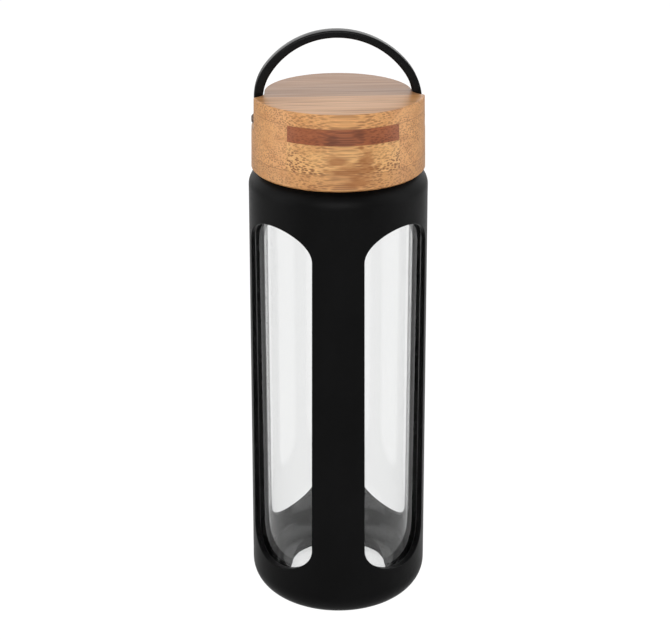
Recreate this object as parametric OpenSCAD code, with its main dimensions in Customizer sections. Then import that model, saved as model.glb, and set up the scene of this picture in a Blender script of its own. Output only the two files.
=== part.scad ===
// Glass water bottle: a wide-mouth glass bottle in a windowed silicone sleeve, closed by a
// glued-up bamboo screw lid with a folding carry handle. Millimetres, +Z up; the origin is on
// the bottle's axis, at the underside of the sleeve. The handle's pivots lie along X.

/* [Glass bottle] */
// Outer radius of the glass at its shoulder
glass_r = 33; // [32.6:0.1:33.2]
// How much wider the glass is at its foot, on the radius
glass_draft = 0.5; // [0:0.1:0.8]
// Wall thickness of the body
glass_wall = 3.6; // [3:0.1:4.4]
// Thickness of the glass at the middle of the base
glass_base = 6; // [4:0.5:9]
// Height of the shoulder's top above the ground
shoulder_z = 183; // [170:1:190]
// Outer radius of the neck, under the thread
neck_r = 26; // [25.8:0.1:26.1]
// Radius of the mouth
mouth_r = 22.8; // [21:0.1:23.2]
// Height of the neck above the shoulder
neck_h = 11; // [10.5:0.1:11.2]

/* [Screw thread] */
// Lead of the single-start right-hand thread
thread_lead = 4; // [3.6:0.1:4.4]
// Height of the glass ridge above the neck
thread_depth = 1.4; // [1.2:0.1:1.5]
// Turns of glass ridge
glass_turns = 1.25; // [1:0.05:1.4]
// Turns of liner ridge
liner_turns = 1.1; // [0.9:0.05:1.2]

/* [Silicone sleeve] */
// Wall thickness at the top edge
sleeve_wall = 1.8; // [1.5:0.1:2.1]
// Extra wall thickness at the foot
sleeve_draft = 0.8; // [0:0.1:1]
// Thickness of the foot
sleeve_base = 2.5; // [2:0.1:3.5]
// Corner radius round the foot
foot_fillet = 10.8; // [8:0.2:12]
// Radius of the opening in the foot, which shows the bottom of the glass
foot_opening_r = 21.7; // [10:0.1:22]
// Height of the sleeve's top edge
sleeve_h = 183.4; // [183.2:0.1:183.6]
// How far the sleeve is turned on the bottle from the handle's line, in degrees
sleeve_turn = -4; // [-45:1:45]
// Angle from the front strip's middle to a window's middle, in degrees
window_angle = 45.8; // [44:0.1:46.5]
// Half width of a window, straight across
window_half_w = 17; // [12:0.1:17.4]
// Height of a window's lowest point
window_low = 19.6; // [16:0.2:30]
// Height of a window's highest point
window_high = 167.6; // [150:0.2:169]
// Height of the rounded end at the bottom of a window
window_end_low = 12; // [6:0.5:16]
// Height of the rounded end at the top of a window
window_end_high = 11.6; // [6:0.5:16]

/* [Bamboo lid] */
// Radius of the lid at its bottom edge
lid_r_low = 33.7; // [33.2:0.1:34.2]
// Radius of the lid at its top edge
lid_r_high = 33.1; // [32.4:0.1:33.4]
// Gap between the sleeve's top edge and the lid
lid_gap = 0.7; // [0.5:0.1:1]
// Thickness of the bottom board
bottom_board = 6.6; // [6:0.1:7]
// Height of the light block in the lid's front
front_block = 11.1; // [10:0.1:12]
// Height of the dark strip in the lid's front
dark_strip = 6.2; // [5.5:0.1:7]
// Thickness of the top board
top_board = 5.5; // [5:0.1:6]
// Distance from the axis to the glue line behind the front strips
front_glue_y = 26; // [24:0.1:27]
// Distance from the axis to the glue line across the top board
top_glue_y = 6.7; // [4:0.1:12]
// Radius of the lid's rear half inside the handle's pocket
pocket_r = 28.2; // [28:0.1:28.3]
// Depth of the handle's pocket from the lid's top
pocket_depth = 13.2; // [12.9:0.1:13.6]
// Radius of the milling cutter that shaped the pocket
cutter_r = 6; // [5.5:0.1:6]

/* [Liner and seal] */
// Outer radius of the threaded liner
liner_r = 29.8; // [29.7:0.1:30]
// Wall thickness of the liner
liner_wall = 1.8; // [1.7:0.1:1.9]
// Thickness of the seal ring
seal_t = 1.8; // [1.6:0.1:2]
// Width of the seal ring
seal_w = 5; // [4:0.1:5.2]

/* [Carry handle] */
// Depth of the pivots below the lid's top
pivot_depth = 10; // [9.8:0.1:10.2]
// Half span of the handle over its legs
handle_half_span = 32.1; // [32:0.1:32.4]
// Thickness of the legs
leg_t = 3.4; // [3.2:0.1:3.5]
// Thickness at the crown
crown_t = 2.8; // [2.4:0.1:3.2]
// Width of the handle's band
band_w = 5; // [4.6:0.1:5]
// Straight length of a leg above its pivot
leg_straight = 7; // [6:0.5:8]
// Rise of the arch above the straight legs
arch_rise = 27; // [26:0.1:32]
// Radius of the haunches outside
haunch_r = 22; // [21:0.5:24]
// Radius of a pivot screw's shank
screw_r = 1.2; // [1:0.05:1.3]
// Radius of a pivot screw's head
screw_head_r = 2.2; // [2:0.1:2.4]
// Height of a pivot screw's head
screw_head_h = 1.6; // [1.2:0.1:1.8]
// How deep a pivot screw goes into the bamboo
screw_depth = 9; // [6:0.5:12]

/* [Hidden] */
round_fn = 96;
far = 60;                       // reaches past every part of the lid and sleeve
skin_gap = 0.1;                 // between the glass and the sleeve that hugs it
rest_gap = 0.05;                // between faces that press on each other but belong to moving parts
glass_foot = sleeve_base + skin_gap;
glass_corner = 8;               // outside corner round the glass foot
glass_inner_corner = 10;
punt_r = 22;                    // the hollow under the glass foot
punt_h = 2.4;
shoulder_fillet = 7;
neck_top = shoulder_z + neck_h;
lid_low = sleeve_h + lid_gap;
core_low = lid_low + bottom_board;
dark_low = core_low + front_block;
top_low = dark_low + dark_strip;
lid_high = top_low + top_board;
liner_roof_low = neck_top + rest_gap + seal_t + rest_gap;
liner_roof_t = 1.5;
liner_high = liner_roof_low + liner_roof_t;
liner_low = lid_low + 0.4;
liner_bore = liner_r - liner_wall;
liner_ring_h = 1.2;             // locating ring inside the seal
liner_ring_t = 1.2;
seal_r = liner_bore - 0.4;
ridge_root = 2;                 // width of a thread ridge at its root
ridge_crest = 0.8;
ridge_flank_gap = 0.35;         // between the glass ridge and the liner ridge under it
pivot_z = lid_high - pivot_depth;
crown_inner_rise = arch_rise - crown_t;
haunch_inner_r = haunch_r - leg_t;
pin_hole_r = screw_r + rest_gap;
cutter_past = 0.7;              // how far past the pivots' line the cutter stopped, at both ends

// Points along an arc in a profile, centre [r, z], radius, from and to angles.
function arc(c, radius, a0, a1, n) =
    [for (i = [0:n]) let (a = a0 + (a1 - a0) * i / n) [c[0] + radius * cos(a), c[1] + radius * sin(a)]];

// Outer radius of the glass at a height, with its draft.
function glass_at(z) = glass_r + glass_draft * (1 - z / shoulder_z);

// Outer radius of the sleeve at a height.
function sleeve_at(z) = glass_at(z) + skin_gap + sleeve_wall + sleeve_draft * (1 - z / sleeve_h);

// Crown radius of a three-centred arch, from its half span, rise and haunch radius.
function crown_drop(half, rise, haunch) =
    (pow(half - haunch, 2) - pow(rise - haunch, 2)) / (2 * (rise - haunch));

// One ring of a thread ridge: root below, crest below, crest above, root above.
function ridge_ring(root_r, crest_r, a, z) = [
    [root_r * cos(a), root_r * sin(a), z - ridge_root / 2],
    [crest_r * cos(a), crest_r * sin(a), z - ridge_crest / 2],
    [crest_r * cos(a), crest_r * sin(a), z + ridge_crest / 2],
    [root_r * cos(a), root_r * sin(a), z + ridge_root / 2]
];

// A helical ridge that starts and ends buried in its wall. A crest outside the root is a
// ridge on a neck, and a crest inside the root is a ridge in a bore.
module thread_ridge(wall_r, crest_r, z_start, turns, start_angle) {
    a_turn = 36;                // rings to a turn
    steps = round(turns * a_turn);
    ramp = 5;                   // rings over which an end fades
    out = crest_r > wall_r ? 1 : -1;
    root_r = wall_r - out * 0.5;
    buried = wall_r - out * 0.15;
    rings = [for (i = [0:steps])
        let (f = min(1, i / ramp, (steps - i) / ramp))
        ridge_ring(root_r, buried + (crest_r - buried) * f, start_angle + 360 * i / a_turn,
            z_start + thread_lead * i / a_turn)];
    points = [for (ring = rings) each ring];
    sides = [for (i = [0:steps - 1]) for (k = [0:3])
        let (a = 4 * i + k, b = 4 * i + (k + 1) % 4)
        each [[a, b, b + 4], [a, b + 4, a + 4]]];
    last = 4 * steps;
    caps = [[0, 3, 2], [0, 2, 1], [last, last + 1, last + 2], [last, last + 2, last + 3]];
    turned = [for (f = concat(sides, caps)) out > 0 ? f : [f[2], f[1], f[0]]];
    polyhedron(points, turned, convexity = 4);
}

glass_ridge_z = shoulder_z + 4.4;
liner_ridge_z = glass_ridge_z - (ridge_root + ridge_crest) / 2 - ridge_flank_gap;

module glass_bottle() {
    color([0.86, 0.92, 0.9, 0.35])
    union() {
        difference() {
            rotate_extrude($fn = round_fn) polygon(concat(
                [[0, glass_foot + punt_h]],
                arc([0, glass_foot + punt_h - 101.9], 101.9, 86, 78.2, 4),
                [[punt_r + 1, glass_foot]],
                arc([glass_at(0) - glass_corner, glass_foot + glass_corner], glass_corner, -90, 0, 8),
                arc([glass_r - shoulder_fillet, shoulder_z - shoulder_fillet], shoulder_fillet, 0, 90, 8),
                [[neck_r, shoulder_z]],
                [[neck_r, neck_top - 0.6], [neck_r - 0.6, neck_top]],
                [[0, neck_top]]
            ));
            rotate_extrude($fn = round_fn) polygon(concat(
                [[0, glass_foot + punt_h + glass_base]],
                arc([glass_at(0) - glass_wall - glass_inner_corner, glass_foot + glass_base + glass_inner_corner],
                    glass_inner_corner, -90, 0, 8),
                arc([mouth_r, shoulder_z - glass_r + mouth_r], glass_r - glass_wall - mouth_r, 0, 90, 8),
                [[mouth_r, neck_top - 0.6], [mouth_r + 0.6, neck_top], [mouth_r + 0.6, neck_top + 1]],
                [[0, neck_top + 1]]
            ));
        }
        thread_ridge(neck_r, neck_r + thread_depth, glass_ridge_z, glass_turns, 200);
    }
}

// The outline of one window, flat, with its height along Y.
module window_outline() {
    polygon(concat(
        [for (p = arc([0, 0], 1, 0, 180, 24))
            [p[0] * window_half_w, window_high - window_end_high * (1 - p[1])]],
        [for (p = arc([0, 0], 1, 180, 360, 24))
            [p[0] * window_half_w, window_low + window_end_low * (1 + p[1])]]
    ));
}

module silicone_sleeve() {
    lip_r = glass_r - 4.6;
    top_round = 6.2;
    inner_corner = glass_corner + skin_gap;
    inner_foot = glass_at(0) + skin_gap;
    shoulder_r = shoulder_fillet + skin_gap;
    shoulder_c = [glass_r - shoulder_fillet, shoulder_z - shoulder_fillet];
    lip_angle = acos((lip_r - shoulder_c[0]) / shoulder_r);
    color([0.035, 0.035, 0.037])
    difference() {
        rotate_extrude($fn = round_fn) polygon(concat(
            [[foot_opening_r, sleeve_base], [foot_opening_r, 0]],
            arc([sleeve_at(0) - foot_fillet, foot_fillet], foot_fillet, -90, 0, 10),
            arc([sleeve_at(sleeve_h) - top_round, sleeve_h - top_round], top_round, 0, 90, 8),
            [[lip_r, sleeve_h]],
            arc(shoulder_c, shoulder_r, lip_angle, 0, 6),
            arc([inner_foot - inner_corner, sleeve_base + inner_corner], inner_corner, 0, -90, 8)
        ));
        for (side = [-1, 1], back = [0, 180])
            rotate([0, 0, sleeve_turn + back + side * window_angle])
                translate([0, -glass_r / 2, 0])
                    rotate([90, 0, 0])
                        linear_extrude(far) window_outline();
    }
}

module threaded_liner() {
    color([0.9, 0.9, 0.88])
    union() {
        difference() {
            translate([0, 0, liner_low]) cylinder(r = liner_r, h = liner_high - liner_low, $fn = round_fn);
            translate([0, 0, liner_low - 1])
                cylinder(r = liner_bore, h = liner_roof_low - liner_low + 1, $fn = round_fn);
        }
        difference() {
            translate([0, 0, liner_roof_low - liner_ring_h])
                cylinder(r = seal_r - seal_w - rest_gap, h = liner_ring_h + 0.5, $fn = round_fn);
            translate([0, 0, liner_roof_low - liner_ring_h - 1])
                cylinder(r = seal_r - seal_w - rest_gap - liner_ring_t, h = liner_ring_h + 1, $fn = round_fn);
        }
        thread_ridge(liner_bore, liner_bore - thread_depth, liner_ridge_z, liner_turns, 200);
    }
}

module seal_ring() {
    color([0.93, 0.93, 0.92])
    translate([0, 0, neck_top + rest_gap])
        difference() {
            cylinder(r = seal_r, h = seal_t, $fn = round_fn);
            translate([0, 0, -1]) cylinder(r = seal_r - seal_w, h = seal_t + 2, $fn = round_fn);
        }
}

// The whole lid as turned and milled after gluing: a slight taper, eased edges, a bore for the
// liner, the handle's pocket round the rear half and the screws' pilot holes.
module lid_blank() {
    chamfer = 0.7;
    ease = 0.3;
    end_angle = asin(cutter_past / (pocket_r + cutter_r));
    difference() {
        rotate_extrude($fn = round_fn) polygon([
            [0, lid_low], [lid_r_low - chamfer, lid_low], [lid_r_low, lid_low + chamfer],
            [lid_r_high, lid_high - ease], [lid_r_high - ease, lid_high], [0, lid_high]
        ]);
        translate([0, 0, lid_low - 1]) cylinder(r = liner_r, h = liner_high - lid_low + 1, $fn = round_fn);
        rotate_extrude(angle = 180 + 2 * end_angle, start = -end_angle, $fn = round_fn)
            translate([pocket_r, lid_high - pocket_depth]) square([far - pocket_r, pocket_depth + 1]);
        for (side = [-1, 1]) {
            translate([side * (pocket_r + cutter_r) * cos(end_angle), -cutter_past, lid_high - pocket_depth])
                cylinder(r = cutter_r, h = pocket_depth + 1, $fn = round_fn);
            translate([side * (pocket_r - screw_depth), 0, pivot_z])
                rotate([0, side * 90, 0]) cylinder(r = screw_r, h = far, $fn = 48);
        }
    }
}

// A slab of the lid between two heights and two depths.
module lid_slab(z0, z1, y0, y1) {
    intersection() {
        lid_blank();
        translate([-far, y0, z0]) cube([2 * far, y1 - y0, z1 - z0]);
    }
}

module lid_bottom_board() {
    color([0.83, 0.64, 0.43]) lid_slab(lid_low - 1, core_low, -far, far);
}

module lid_core_block() {
    color([0.81, 0.62, 0.42]) lid_slab(core_low, top_low, -front_glue_y, far);
}

module lid_front_block() {
    color([0.86, 0.68, 0.46]) lid_slab(core_low, dark_low, -far, -front_glue_y);
}

module lid_dark_strip() {
    color([0.55, 0.31, 0.21]) lid_slab(dark_low, top_low, -far, -front_glue_y);
}

module lid_top_board_front() {
    color([0.8, 0.64, 0.5]) lid_slab(top_low, lid_high + 1, -far, -top_glue_y);
}

module lid_top_board_rear() {
    color([0.74, 0.61, 0.5]) lid_slab(top_low, lid_high + 1, -top_glue_y, far);
}

// A three-centred arch on straight legs, flat, filled down to its foot.
module arch_outline(half, rise, haunch) {
    drop = crown_drop(half, rise, haunch);
    crown = rise + drop;
    reach = 2 * crown / drop;
    intersection() {
        translate([0, leg_straight - drop]) circle(r = crown, $fn = 180);
        polygon([
            [0, leg_straight - drop],
            [(half - haunch) * reach, leg_straight - drop + drop * reach],
            [-(half - haunch) * reach, leg_straight - drop + drop * reach]
        ]);
    }
    for (side = [-1, 1])
        intersection() {
            translate([side * (half - haunch), leg_straight]) circle(r = haunch, $fn = 180);
            translate([-half, leg_straight]) square([2 * half, 2 * half]);
        }
    translate([-half, 0]) square([2 * half, leg_straight]);
}

module carry_handle() {
    inner_half = handle_half_span - leg_t;
    color([0.06, 0.06, 0.062])
    translate([0, 0, pivot_z])
        difference() {
            union() {
                translate([0, band_w / 2, 0]) rotate([90, 0, 0]) linear_extrude(band_w)
                    arch_outline(handle_half_span, arch_rise, haunch_r);
                rotate([0, 90, 0]) translate([0, 0, -handle_half_span])
                    cylinder(r = band_w / 2, h = 2 * handle_half_span, $fn = round_fn);
            }
            translate([0, far / 2, 0]) rotate([90, 0, 0]) linear_extrude(far)
                arch_outline(inner_half, crown_inner_rise, haunch_inner_r);
            rotate([0, 90, 0]) translate([0, 0, -inner_half])
                cylinder(r = band_w, h = 2 * inner_half, $fn = round_fn);
            rotate([0, 90, 0]) translate([0, 0, -far])
                cylinder(r = pin_hole_r, h = 2 * far, $fn = 48);
        }
}

// A shouldered wood screw with a low domed head and a hexagon socket; side is -1 or 1.
module pivot_screw(side) {
    shank = handle_half_span - pocket_r + screw_depth;
    socket_r = 1;
    socket_depth = 0.7;
    dome = (pow(screw_head_r, 2) + pow(screw_head_h, 2)) / (2 * screw_head_h);
    half_angle = asin(screw_head_r / dome);
    color([0.2, 0.17, 0.15])
    translate([side * (pocket_r - screw_depth), 0, pivot_z])
        rotate([0, side * 90, 0])
            difference() {
                union() {
                    cylinder(r = screw_r, h = shank + 0.2, $fn = 48);
                    rotate_extrude($fn = 48)
                        translate([0, shank + rest_gap]) polygon(concat(
                            [[0, 0]],
                            [for (p = arc([0, screw_head_h - dome], dome, 90 - half_angle, 90, 8)) [max(0, p[0]), p[1]]]
                        ));
                }
                translate([0, 0, shank + screw_head_h - socket_depth])
                    cylinder(r = socket_r, h = 2 * socket_depth, $fn = 6);
            }
}

module pivot_screw_left() {
    pivot_screw(-1);
}

module pivot_screw_right() {
    pivot_screw(1);
}

glass_bottle();
silicone_sleeve();
threaded_liner();
seal_ring();
lid_bottom_board();
lid_core_block();
lid_front_block();
lid_dark_strip();
lid_top_board_front();
lid_top_board_rear();
carry_handle();
pivot_screw_left();
pivot_screw_right();
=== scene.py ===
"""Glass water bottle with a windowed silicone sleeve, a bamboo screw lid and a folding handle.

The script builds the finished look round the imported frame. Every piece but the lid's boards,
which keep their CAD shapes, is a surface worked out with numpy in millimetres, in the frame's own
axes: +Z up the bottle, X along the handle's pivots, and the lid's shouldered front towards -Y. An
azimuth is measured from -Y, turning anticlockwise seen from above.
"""

from __future__ import annotations

import logging
import math
from collections.abc import Sequence
from dataclasses import dataclass
from enum import Enum
from typing import Any

import bmesh
import bpy
import numpy as np
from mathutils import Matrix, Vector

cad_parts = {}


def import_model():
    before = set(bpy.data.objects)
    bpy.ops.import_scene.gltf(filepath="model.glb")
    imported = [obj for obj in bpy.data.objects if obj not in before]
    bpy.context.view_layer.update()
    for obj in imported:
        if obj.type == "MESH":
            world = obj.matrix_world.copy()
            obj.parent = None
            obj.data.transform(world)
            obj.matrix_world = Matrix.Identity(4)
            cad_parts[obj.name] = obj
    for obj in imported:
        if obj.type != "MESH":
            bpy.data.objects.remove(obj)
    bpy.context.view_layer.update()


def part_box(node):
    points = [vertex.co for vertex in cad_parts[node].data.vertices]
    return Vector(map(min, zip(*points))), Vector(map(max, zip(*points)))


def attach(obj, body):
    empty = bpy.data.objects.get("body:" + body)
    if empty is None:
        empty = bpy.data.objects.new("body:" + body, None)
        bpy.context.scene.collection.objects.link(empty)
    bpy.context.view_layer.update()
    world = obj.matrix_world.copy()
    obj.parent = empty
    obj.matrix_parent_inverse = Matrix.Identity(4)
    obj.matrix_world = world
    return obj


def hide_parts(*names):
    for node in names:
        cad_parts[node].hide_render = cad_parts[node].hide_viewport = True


LOG = logging.getLogger("bottle")
MM = 0.001
WELD = 2e-6

Colour = tuple[float, float, float]
Corner = tuple[float, float, float]


class Body(Enum):
    """The bodies that the pieces ride on."""

    BOTTLE = "bottle"
    SEAL = "seal"
    LID = "lid"
    HANDLE = "handle"


# ---------------------------------------------------------------------------------------------
# Shader expressions
# ---------------------------------------------------------------------------------------------


class Signal:
    """One output socket; arithmetic on it adds Math nodes to its graph."""

    def __init__(self, graph: Graph, socket: bpy.types.NodeSocket) -> None:
        """Keeps the graph and the socket.

        Args:
            graph: the graph that new nodes go into.
            socket: the output socket that this signal reads.
        """
        self.graph = graph
        self.socket = socket

    def _math(self, operation: str, *values: Signal | float) -> Signal:
        """A Math node of that operation on these values."""
        return self.graph.node("ShaderNodeMath", {"operation": operation}, dict(enumerate(values)))

    def __add__(self, other: Signal | float) -> Signal:
        """Sum."""
        return self._math("ADD", self, other)

    def __radd__(self, other: float) -> Signal:
        """Sum with a number on the left."""
        return self._math("ADD", other, self)

    def __sub__(self, other: Signal | float) -> Signal:
        """Difference."""
        return self._math("SUBTRACT", self, other)

    def __rsub__(self, other: float) -> Signal:
        """Difference from a number."""
        return self._math("SUBTRACT", other, self)

    def __mul__(self, other: Signal | float) -> Signal:
        """Product."""
        return self._math("MULTIPLY", self, other)

    def __rmul__(self, other: float) -> Signal:
        """Product with a number on the left."""
        return self._math("MULTIPLY", other, self)

    def __truediv__(self, other: Signal | float) -> Signal:
        """Quotient."""
        return self._math("DIVIDE", self, other)

    def __pow__(self, other: Signal | float) -> Signal:
        """Power."""
        return self._math("POWER", self, other)

    def __abs__(self) -> Signal:
        """Size without its sign."""
        return self._math("ABSOLUTE", self)

    def larger(self, other: Signal | float) -> Signal:
        """The larger of the two."""
        return self._math("MAXIMUM", self, other)

    def step(self, low: float, high: float) -> Signal:
        """A smooth step from 0 at low to 1 at high; low may be the larger of the two.

        Args:
            low: the value at which the result is 0.
            high: the value at which the result is 1.

        Returns:
            The stepped signal.
        """
        if low > high:
            return 1 - self.step(high, low)
        settings = {"interpolation_type": "SMOOTHSTEP"}
        return self.graph.node("ShaderNodeMapRange", settings, {0: self, 1: low, 2: high})


class Graph:
    """The node tree of one material or of the world."""

    def __init__(self, tree: bpy.types.NodeTree) -> None:
        """Empties the tree.

        Args:
            tree: the node tree to fill.
        """
        self.tree = tree
        tree.nodes.clear()
        self._coordinates: Signal | None = None

    def node(
        self,
        kind: str,
        settings: dict[str, Any] | None = None,
        inputs: dict[int | str, Any] | None = None,
        output: int | str = 0,
    ) -> Signal:
        """Adds one node.

        Args:
            kind: the node's type.
            settings: its own settings, set first; "stops" fills a colour ramp.
            inputs: a value or a signal for each input socket, by name or number.
            output: the output socket to return, by name or number.

        Returns:
            The chosen output as a signal.
        """
        made = self.tree.nodes.new(kind)
        for key, value in (settings or {}).items():
            if key == "stops":
                self._fill_ramp(made.color_ramp, value)
            else:
                setattr(made, key, value)
        for key, value in (inputs or {}).items():
            if isinstance(value, Signal):
                self.tree.links.new(value.socket, made.inputs[key])
            elif isinstance(value, tuple) and len(made.inputs[key].default_value) > len(value):
                made.inputs[key].default_value = (*value, 1.0)
            else:
                made.inputs[key].default_value = value
        return Signal(self, made.outputs[output])

    @staticmethod
    def _fill_ramp(ramp: bpy.types.ColorRamp, stops: Sequence[tuple[float, Colour]]) -> None:
        """Sets a ramp's stops, each a place and a colour."""
        while len(ramp.elements) < len(stops):
            ramp.elements.new(1.0)
        for element, (place, colour) in zip(ramp.elements, stops):
            element.position = place
            element.color = (*colour, 1.0)

    def place(self) -> Signal:
        """The piece's own coordinates in metres, which are the frame's."""
        if self._coordinates is None:
            self._coordinates = self.node("ShaderNodeTexCoord", output="Object")
        return self._coordinates

    def scaled(self, factors: Colour, offset: Colour = (0.0, 0.0, 0.0)) -> Signal:
        """The piece's coordinates, each axis times its factor, then moved.

        Args:
            factors: one factor for each axis, in cells a metre.
            offset: how far the pattern is moved, in cells.

        Returns:
            The coordinates as a vector signal.
        """
        inputs = {"Vector": self.place(), "Scale": factors, "Location": offset}
        return self.node("ShaderNodeMapping", {"vector_type": "POINT"}, inputs)

    def axis(self, name: str) -> Signal:
        """One coordinate, X, Y or Z, in metres."""
        return self.node("ShaderNodeSeparateXYZ", None, {0: self.place()}, name)

    def noise(
        self, factors: Colour, detail: float = 2.0, offset: Colour = (0.0, 0.0, 0.0)
    ) -> Signal:
        """Smooth noise from 0 to 1 with its own scale along each axis.

        Args:
            factors: cells a metre along each axis.
            detail: how many finer octaves it has.
            offset: how far the pattern is moved, in cells.

        Returns:
            The noise as a signal.
        """
        inputs = {"Vector": self.scaled(factors, offset), "Scale": 1.0, "Detail": detail}
        return self.node("ShaderNodeTexNoise", None, inputs)

    def cells(
        self, factors: Colour, offset: Colour = (0.0, 0.0, 0.0), spread: float = 1.0
    ) -> Signal:
        """Distance to the nearest of scattered points, about one point to a cell.

        Args:
            factors: cells a metre along each axis.
            offset: how far the pattern is moved, in cells.
            spread: how irregular the points are, from 0 to 1.

        Returns:
            The distance in cells as a signal.
        """
        inputs = {"Vector": self.scaled(factors, offset), "Scale": 1.0, "Randomness": spread}
        return self.node("ShaderNodeTexVoronoi", {"feature": "F1"}, inputs, "Distance")

    def mix(self, first: Any, second: Any, share: Signal | float, how: str = "MIX") -> Signal:
        """Blends two colours.

        Args:
            first: the colour or signal at share 0.
            second: the colour or signal at share 1.
            share: how much of the second shows.
            how: the blend type, such as MIX or MULTIPLY.

        Returns:
            The blended colour as a signal.
        """
        settings = {"data_type": "RGBA", "blend_type": how, "clamp_factor": True}
        return self.node("ShaderNodeMix", settings, {0: share, 6: first, 7: second}, 2)

    def bump(self, height: Signal, depth_mm: float, strength: float = 1.0) -> Signal:
        """A normal from a height signal.

        Args:
            height: the height, from 0 to 1.
            depth_mm: how deep a height of 1 is, in millimetres.
            strength: how much of the bump shows.

        Returns:
            The bumped normal as a vector signal.
        """
        inputs = {"Height": height, "Distance": depth_mm * MM, "Strength": strength}
        return self.node("ShaderNodeBump", None, inputs)

    def principled(self, inputs: dict[int | str, Any]) -> None:
        """Shows a Principled shader with these values or signals on its sockets."""
        self.finish(self.node("ShaderNodeBsdfPrincipled", None, inputs))

    def finish(self, surface: Signal, kind: str = "ShaderNodeOutputMaterial") -> None:
        """Links the surface shader to the output.

        Args:
            surface: the shader to show.
            kind: the output node's type.
        """
        made = self.tree.nodes.new(kind)
        self.tree.links.new(surface.socket, made.inputs["Surface"])


# ---------------------------------------------------------------------------------------------
# Finishes
# ---------------------------------------------------------------------------------------------


@dataclass(frozen=True)
class Finish:
    """A material and the record's slot that it stands for."""

    name: str
    slot: str

    def material(self) -> bpy.types.Material:
        """A new material, filled by paint."""
        material = bpy.data.materials.new(self.name)
        material.use_nodes = True
        self.paint(Graph(material.node_tree))
        return material

    def paint(self, graph: Graph) -> None:
        """Fills the material's graph; each finish says how."""
        raise NotImplementedError


@dataclass(frozen=True)
class ClearGlass(Finish):
    """Pressed and blown glass: clear, with a faint green tint and a slow ripple in its skin."""

    tint: Colour = (0.912, 0.915, 0.914)
    refraction: float = 1.46
    ripple_mm: float = 0.012

    def paint(self, graph: Graph) -> None:
        """Fills in the glass."""
        ripple = graph.noise((55.0, 55.0, 22.0), 1.0)
        graph.principled(
            {
                "Base Color": self.tint,
                "Roughness": 0.0,
                "IOR": self.refraction,
                "Transmission Weight": 1.0,
                "Normal": graph.bump(ripple, self.ripple_mm),
            }
        )


@dataclass(frozen=True)
class MattSilicone(Finish):
    """Moulded silicone: a fine matt grain, slow cloudiness in its gloss and a soft sheen."""

    colour: Colour = (0.0017, 0.0017, 0.0018)
    haze: Colour = (0.003, 0.003, 0.0032)
    roughness: float = 0.47
    gloss: float = 0.09
    sheen: float = 0.2

    def paint(self, graph: Graph) -> None:
        """Fills in the silicone."""
        cloud = graph.noise((45.0, 45.0, 30.0), 3.0)
        grain = graph.noise((2600.0, 2600.0, 2600.0), 2.0)
        mottle = graph.noise((420.0, 420.0, 420.0), 2.0)
        graph.principled(
            {
                "Base Color": graph.mix(self.colour, self.haze, cloud.step(0.35, 0.7)),
                "Roughness": self.roughness + 0.1 * (cloud - 0.5) + 0.12 * (grain - 0.5),
                "Specular IOR Level": self.gloss,
                "Sheen Weight": self.sheen,
                "Sheen Roughness": 0.3,
                "Normal": graph.bump(grain + 0.6 * mottle, 0.035, 0.6),
            }
        )


@dataclass(frozen=True)
class MouldedPlastic(Finish):
    """Injection-moulded plastic with a spark-eroded satin skin."""

    colour: Colour = (0.0028, 0.0028, 0.003)
    roughness: float = 0.28
    gloss: float = 0.14
    grain_mm: float = 0.02

    def paint(self, graph: Graph) -> None:
        """Fills in the plastic."""
        grain = graph.noise((3200.0, 3200.0, 3200.0), 2.0)
        flow = graph.noise((60.0, 60.0, 160.0), 2.0)
        lighter = tuple(min(1.0, 1.35 * value + 0.002) for value in self.colour)
        graph.principled(
            {
                "Base Color": graph.mix(self.colour, lighter, 0.6 * flow.step(0.3, 0.8)),
                "Roughness": self.roughness + 0.12 * (flow - 0.5) + 0.08 * (grain - 0.5),
                "Specular IOR Level": self.gloss,
                "Normal": graph.bump(grain, self.grain_mm, 0.5),
            }
        )


@dataclass(frozen=True)
class ClearSilicone(Finish):
    """Translucent silicone of the seal."""

    colour: Colour = (0.86, 0.87, 0.86)

    def paint(self, graph: Graph) -> None:
        """Fills in the seal's."""
        cloud = graph.noise((300.0, 300.0, 300.0), 2.0)
        graph.principled(
            {
                "Base Color": graph.mix(self.colour, (0.93, 0.93, 0.92), cloud),
                "Roughness": 0.3 + 0.2 * cloud,
                "IOR": 1.41,
                "Transmission Weight": 0.45,
                "Normal": graph.bump(cloud, 0.02, 0.5),
            }
        )


@dataclass(frozen=True)
class BronzedSteel(Finish):
    """Dark bronzed steel with turning marks and rubbed edges."""

    colour: Colour = (0.14, 0.095, 0.075)
    rubbed: Colour = (0.36, 0.27, 0.21)

    def paint(self, graph: Graph) -> None:
        """Fills in the screws'."""
        wear = graph.noise((900.0, 900.0, 900.0), 3.0)
        marks = graph.noise((6000.0, 900.0, 900.0), 1.0)
        graph.principled(
            {
                "Base Color": graph.mix(self.colour, self.rubbed, wear.step(0.52, 0.72)),
                "Metallic": 0.85,
                "Roughness": 0.34 + 0.2 * (marks - 0.5),
                "Normal": graph.bump(marks, 0.01, 0.5),
            }
        )


@dataclass(frozen=True)
class Stain:
    """A darker patch on a board's front, as where the culm had a joint; millimetres."""

    x: float
    z: float
    half_x: float
    half_z: float
    strength: float = 0.6

    def mask(self, graph: Graph, ragged: Signal) -> Signal:
        """Where the patch shows: its ellipse, with an edge made ragged by noise.

        Args:
            graph: the graph that the nodes go into.
            ragged: noise from 0 to 1.

        Returns:
            The patch's strength at each place.
        """
        across = (graph.axis("X") - self.x * MM) / (self.half_x * MM)
        up = (graph.axis("Z") - self.z * MM) / (self.half_z * MM)
        away = (across * across + up * up) ** 0.5 + 2.2 * (ragged - 0.5)
        return self.strength * away.step(1.25, 0.3)


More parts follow.
